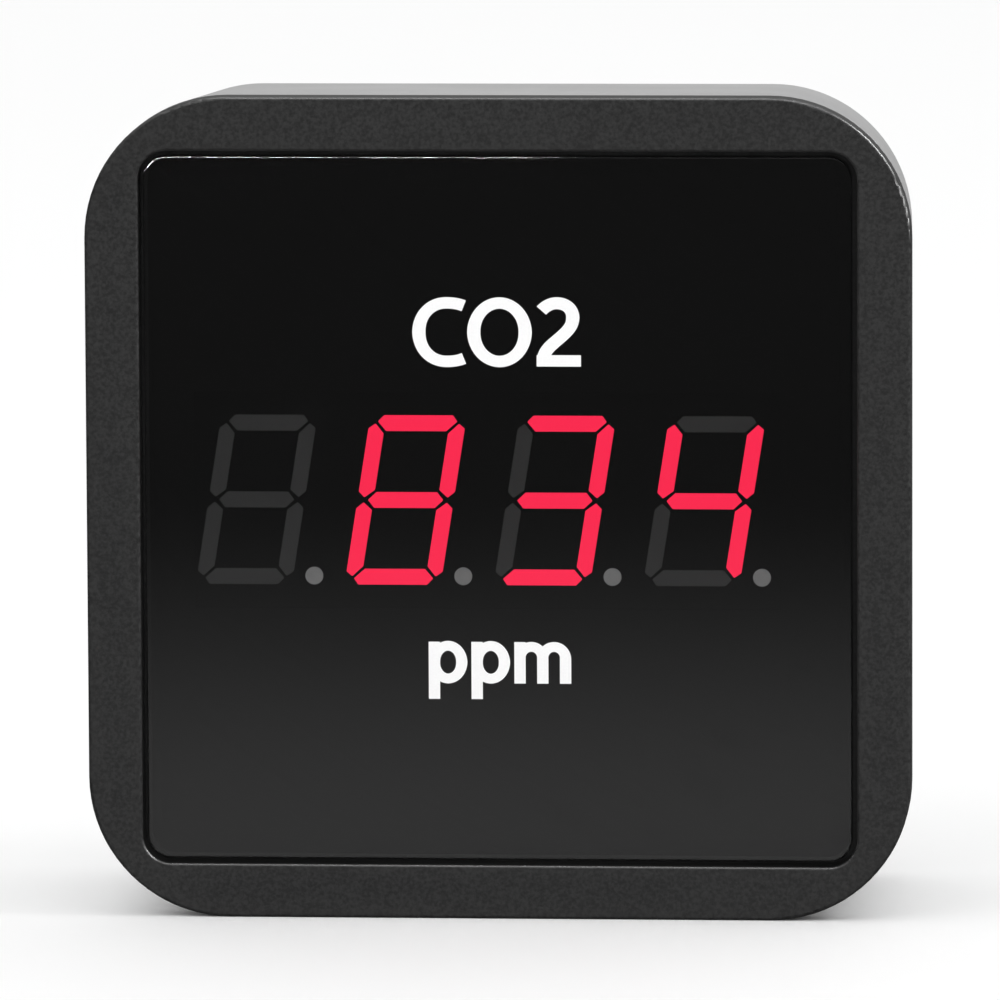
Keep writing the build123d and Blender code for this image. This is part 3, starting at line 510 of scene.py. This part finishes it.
def letter_p(x, z):
    """The letter from its stem's left edge and its baseline."""
    middle = x + PPM_UPRIGHT_STROKE / 2
    stem = stroke([(middle, z - 1.35), (middle, z + 3.54)], PPM_UPRIGHT_STROKE, PPM_LEVEL_STROKE)
    bowl = ellipse((x + 1.65, z + 1.8), 1.16, 1.4)
    return stem + stroke(bowl, PPM_UPRIGHT_STROKE, PPM_LEVEL_STROKE, closed=True)


def letter_m(x, z):
    pitch = 1.935
    middle = x + PPM_UPRIGHT_STROKE / 2
    parts = stroke([(middle, z), (middle, z + 3.54)], PPM_UPRIGHT_STROKE, PPM_LEVEL_STROKE)
    for arch in (0, 1):
        centre = middle + (arch + 0.5) * pitch
        path = [(centre + pitch / 2, z)] + ellipse((centre, z + 2.15), pitch / 2, 0.99, 0.0, 180.0, 24)
        parts += stroke(path, PPM_UPRIGHT_STROKE, PPM_LEVEL_STROKE)
    return parts


def holds(outline, point):
    """Whether a point lies in an outline with no hollow sides."""
    turns = [(b[0] - a[0]) * (point[1] - a[1]) - (b[1] - a[1]) * (point[0] - a[0])
             for a, b in zip(outline, outline[1:] + outline[:1])]
    return min(turns) >= 0.0 or max(turns) <= 0.0


def legend(name, outlines):
    """A layer of ink on the window's front, in the shape of all the outlines together."""
    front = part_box("display_window")[0][1]
    points = []
    faces = []
    for outline in outlines:
        faces.append(list(range(len(points), len(points) + len(outline))))
        points += [Vector(point) for point in outline]
    places, _, triangles, *_ = delaunay_2d_cdt(points, [], faces, 1, 1e-5)
    mesh = bmesh.new()
    corners = [mesh.verts.new((place.x * MM, front, place.y * MM)) for place in places]
    for triangle in triangles:
        middle = sum((places[corner] for corner in triangle), Vector((0.0, 0.0))) / 3
        if any(holds(outline, middle) for outline in outlines):
            mesh.faces.new([corners[corner] for corner in triangle])
    bmesh.ops.delete(mesh, geom=[corner for corner in mesh.verts if not corner.link_faces], context="VERTS")
    raised = bmesh.ops.extrude_face_region(mesh, geom=mesh.faces[:])
    top = [item for item in raised["geom"] if isinstance(item, bmesh.types.BMVert)]
    bmesh.ops.translate(mesh, verts=top, vec=(0.0, -INK_THICKNESS * MM, 0.0))
    bmesh.ops.recalc_face_normals(mesh, faces=mesh.faces)
    data = bpy.data.meshes.new(name)
    mesh.to_mesh(data)
    mesh.free()
    data.materials.append(materials["printed_ink"])
    ink = bpy.data.objects.new(name, data)
    bpy.context.collection.objects.link(ink)
    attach(ink, "case")


def make_legends():
    """The gas and the unit, in plain letters drawn with one pen."""
    co2 = letter_c(-4.36, CO2_MIDDLE_Z) + letter_o(0.2, CO2_MIDDLE_Z) + figure_2(3.34, CO2_MIDDLE_Z - 2.9)
    legend("legend_gas", co2)
    ppm = letter_p(-5.94, PPM_BASE_Z) + letter_p(-2.31, PPM_BASE_Z) + letter_m(1.34, PPM_BASE_Z)
    legend("legend_unit", ppm)


# ---- Studio

def plain_floor():
    """A pale floor that runs well past the view on every side."""
    mesh = bmesh.new()
    bmesh.ops.create_grid(mesh, x_segments=8, y_segments=8, size=FLOOR_HALF)
    data = bpy.data.meshes.new("floor")
    mesh.to_mesh(data)
    mesh.free()
    material, tree, shader, place = new_material("floor_paper", grey(0.95), 0.9)
    tone = noise(tree, place, 0.5, 2.0)
    tree.put(shader.inputs["Base Color"], tree.blend(tone, grey(0.94), grey(0.96)))
    data.materials.append(material)
    floor = bpy.data.objects.new("floor", data)
    bpy.context.collection.objects.link(floor)
    floor.location.z = cad_box[0][2]
    floor.visible_glossy = False


def softbox(name, place, width, length, power, glints_only=True, lit_piece=None):
    """A rectangular area light. One for glints shows only in gloss, and one with a lit piece lights nothing
    else."""
    light = bpy.data.lights.new(name, "AREA")
    light.shape = "RECTANGLE"
    light.size = width
    light.size_y = length
    light.energy = power
    lamp = bpy.data.objects.new(name, light)
    lamp.location = place
    aim = Vector(LIT_POINT) - Vector(place)
    lamp.rotation_euler = aim.to_track_quat("-Z", "Y").to_euler()
    lamp.visible_diffuse = not glints_only
    if lit_piece:
        receivers = bpy.data.collections.new(name)
        receivers.objects.link(lit_piece)
        lamp.light_linking.receiver_collection = receivers
    bpy.context.collection.objects.link(lamp)


def studio_world():
    """White light from all round. Reflections see a room: a bright ceiling, dark sides, a grey wall behind,
    and in front a dark stretch that ends at a bright table."""
    world = bpy.data.worlds.new("studio")
    bpy.context.scene.world = world
    tree = Tree(world)
    shader = tree.nodes["Background"]
    direction = tree.add("SeparateXYZ", Vector=tree.add("TexCoord").outputs["Generated"])
    depth = direction.outputs["Y"]
    height = direction.outputs["Z"]
    table = tree.span(height, *TABLE_SPAN, FRONT_DARK, TABLE_BRIGHT)
    table = tree.math("MULTIPLY", table, tree.span(height, *UNDER_TABLE_SPAN, UNDER_TABLE, 1.0))
    around = tree.span(depth, *WALL_SPAN, SIDES_DARK, WALL_BEHIND)
    room = tree.blend(tree.span(depth, *FRONT_SPAN), around, table)
    lit_room = tree.math("MAXIMUM", room, tree.span(height, *CEILING_SPAN, 0.0, CEILING))
    glossy = tree.add("LightPath").outputs["Is Glossy Ray"]
    tree.put(shader.inputs["Color"], tree.blend(glossy, grey(1.0), lit_room))
    shader.inputs["Strength"].default_value = AMBIENT


def place_camera():
    data = bpy.data.cameras.new("camera")
    data.lens = LENS
    data.sensor_width = 36.0
    camera = bpy.data.objects.new("camera", data)
    azimuth = math.radians(AZIMUTH)
    elevation = math.radians(ELEVATION)
    back = Vector((math.sin(azimuth) * math.cos(elevation), -math.cos(azimuth) * math.cos(elevation),
                   math.sin(elevation)))
    camera.location = Vector((AIM_X, cad_box[0][1], AIM_Z)) + back * DISTANCE
    camera.rotation_mode = "QUATERNION"
    roll = Quaternion((0.0, 0.0, 1.0), math.radians(ROLL))
    camera.rotation_quaternion = (-back).to_track_quat("-Z", "Y") @ roll
    data.clip_start = 0.05
    data.clip_end = 20.0
    bpy.context.collection.objects.link(camera)
    bpy.context.scene.camera = camera


def make_studio(pane):
    """Floor, lights and camera. Two of the lights light the window pane only."""
    plain_floor()
    studio_world()
    softbox("key", **KEY, glints_only=False)
    softbox("top_strip", **TOP_STRIP)
    softbox("corner_glint", **CORNER_GLINT)
    softbox("pane_top_glint", **PANE_TOP_GLINT, lit_piece=pane)
    softbox("pane_corner_glint", **PANE_CORNER_GLINT, lit_piece=pane)
    bpy.context.scene.view_settings.view_transform = "Standard"
    place_camera()


paint_nodes()
window_pane = make_window()
make_legends()
make_studio(window_pane)
